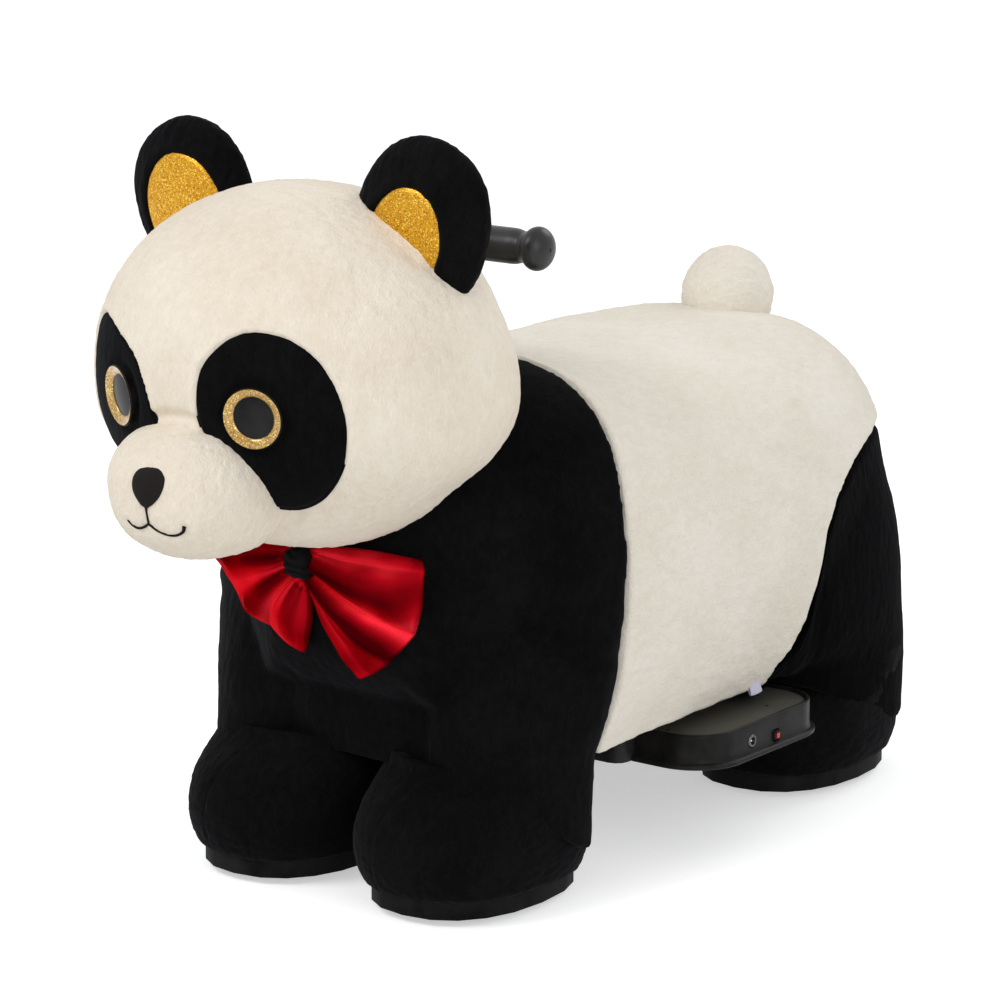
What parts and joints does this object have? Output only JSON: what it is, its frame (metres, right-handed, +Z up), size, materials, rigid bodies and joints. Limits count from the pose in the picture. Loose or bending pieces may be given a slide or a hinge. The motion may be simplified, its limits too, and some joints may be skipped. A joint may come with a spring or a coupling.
{
  "type": "plush ride on animal",
  "caption": "Plush panda ride-on for a child, with steered front wheels, a geared rear wheel motor, handlebar, foot steps and hidden wheel covers.",
  "frame": {"origin": "on the ground under the middle of the whole length and width", "axes": "+Z up, -Y is forward past the nose, +X is the panda's left side"},
  "size_m": [0.409, 0.8496, 0.6122],
  "materials": {
    "cream_plush": "deep soft plush pile, matt",
    "black_plush": "deep soft plush pile, matt",
    "gold_glitter": "fine gold glitter on cloth",
    "eye_gold": "glossy black pupil in a gold glitter ring",
    "nose_cloth": "short satin stitch",
    "red_satin": "satin sheen, pleated",
    "cover_plastic": "fine moulded texture",
    "step_plastic": "glossy moulded",
    "wheel_plastic": "matt moulded",
    "handle_plastic": "satin moulded",
    "zinc_steel": "zinc plated",
    "black_steel": "black powder coat",
    "nylon": "matt moulded",
    "brass": "machined",
    "plywood": "bare plywood",
    "battery_case": "matt moulded",
    "circuit_board": "solder mask",
    "red_plastic": "glossy moulded",
    "socket_metal": "dark nickel"
  },
  "bodies": {
    "root": {"battery": "battery_case", "body_barrel": "cream_plush", "bow_band": "black_plush", "bow_lobe_left": "red_satin", "bow_lobe_right": "red_satin", "charge_socket": "socket_metal", "chassis_tray": "cover_plastic", "column_support": "black_steel", "control_board": "circuit_board", "drive_motor": "zinc_steel", "ear_left": "black_plush", "ear_lining_left": "gold_glitter", "ear_lining_right": "gold_glitter", "ear_right": "black_plush", "eye_left": "eye_gold", "eye_patch_left": "black_plush", "eye_patch_right": "black_plush", "eye_right": "eye_gold", "foot_step_left": "step_plastic", "foot_step_right": "step_plastic", "frame_spine": "black_steel", "front_beam": "black_steel", "front_leg_left": "black_plush", "front_leg_right": "black_plush", "gear_plate": "zinc_steel", "head": "cream_plush", "muzzle": "cream_plush", "nose": "nose_cloth", "paw_front_left": "black_plush", "paw_front_right": "black_plush", "paw_rear_left": "black_plush", "paw_rear_right": "black_plush", "rear_axle": "zinc_steel", "rear_beam": "black_steel", "rear_leg_left": "black_plush", "rear_leg_right": "black_plush", "seat_board": "plywood", "seat_hoop": "black_steel", "shoulder_yoke": "black_plush", "tail": "cream_plush", "wheel_cover_front_left": "cover_plastic", "wheel_cover_front_right": "cover_plastic", "wheel_cover_rear_left": "cover_plastic", "wheel_cover_rear_right": "cover_plastic"},
    "steering": {"steering_column": "black_steel", "handlebar": "handle_plastic", "grip_left": "handle_plastic", "grip_right": "handle_plastic"},
    "go_button": {"go_button": "red_plastic"},
    "knuckle_left": {"fork_left": "zinc_steel"},
    "knuckle_right": {"fork_right": "zinc_steel"},
    "tie_rod": {"tie_rod": "zinc_steel"},
    "wheel_front_left": {"wheel_front_left": "wheel_plastic"},
    "wheel_front_right": {"wheel_front_right": "wheel_plastic"},
    "wheel_rear_left": {"wheel_rear_left": "wheel_plastic"},
    "wheel_rear_right": {"wheel_rear_right": "wheel_plastic", "driven_gear": "nylon"},
    "cluster": {"cluster_gear": "nylon"},
    "pinion": {"motor_pinion": "brass"},
    "power_button": {"power_button": "red_plastic"}
  },
  "joints": [
    {"name": "steering_turn", "type": "hinge", "parent": "root", "child": "steering", "pos_m": [0, -0.10825, 0.3], "axis": [0, 0, 1], "range_deg": [-20, 20]},
    {"name": "knuckle_left_turn", "type": "hinge", "parent": "root", "child": "knuckle_left", "pos_m": [0.086, -0.14725, 0.12], "axis": [0, 0, 1], "range_deg": [-20, 20]},
    {"name": "knuckle_right_turn", "type": "hinge", "parent": "root", "child": "knuckle_right", "pos_m": [-0.086, -0.14725, 0.12], "axis": [0, 0, 1], "range_deg": [-20, 20]},
    {"name": "tie_rod_turn", "type": "hinge", "parent": "knuckle_left", "child": "tie_rod", "pos_m": [0.086, -0.11725, 0.1445], "axis": [0, 0, 1], "range_deg": [-20, 20]},
    {"name": "wheel_front_left_spin", "type": "hinge", "parent": "knuckle_left", "child": "wheel_front_left", "pos_m": [0.086, -0.14725, 0.045], "axis": [1, 0, 0], "continuous": true},
    {"name": "wheel_front_right_spin", "type": "hinge", "parent": "knuckle_right", "child": "wheel_front_right", "pos_m": [-0.086, -0.14725, 0.045], "axis": [1, 0, 0], "continuous": true},
    {"name": "wheel_rear_left_spin", "type": "hinge", "parent": "root", "child": "wheel_rear_left", "pos_m": [0.101, 0.28875, 0.045], "axis": [1, 0, 0], "continuous": true},
    {"name": "wheel_rear_right_spin", "type": "hinge", "parent": "root", "child": "wheel_rear_right", "pos_m": [-0.101, 0.28875, 0.045], "axis": [1, 0, 0], "continuous": true},
    {"name": "cluster_spin", "type": "hinge", "parent": "root", "child": "cluster", "pos_m": [-0.0803, 0.26438, 0.0715], "axis": [1, 0, 0], "continuous": true},
    {"name": "pinion_spin", "type": "hinge", "parent": "root", "child": "pinion", "pos_m": [-0.0803, 0.27494, 0.09305], "axis": [1, 0, 0], "continuous": true},
    {"name": "go_press", "type": "slide", "parent": "steering", "child": "go_button", "axis": [0, -1, 0], "range_m": [0, 0.0025], "stiffness_N_per_m": 400, "springref_m": -0.002},
    {"name": "power_press", "type": "slide", "parent": "root", "child": "power_button", "axis": [-1, 0, 0], "range_m": [0, 0.002], "stiffness_N_per_m": 400, "springref_m": -0.002}
  ],
  "couplings": [
    {"joint": "knuckle_left_turn", "follows": "steering_turn", "ratio": 1},
    {"joint": "knuckle_right_turn", "follows": "steering_turn", "ratio": 1},
    {"joint": "tie_rod_turn", "follows": "steering_turn", "ratio": -1},
    {"joint": "cluster_spin", "follows": "wheel_rear_right_spin", "ratio": -3},
    {"joint": "pinion_spin", "follows": "wheel_rear_right_spin", "ratio": 9}
  ]
}
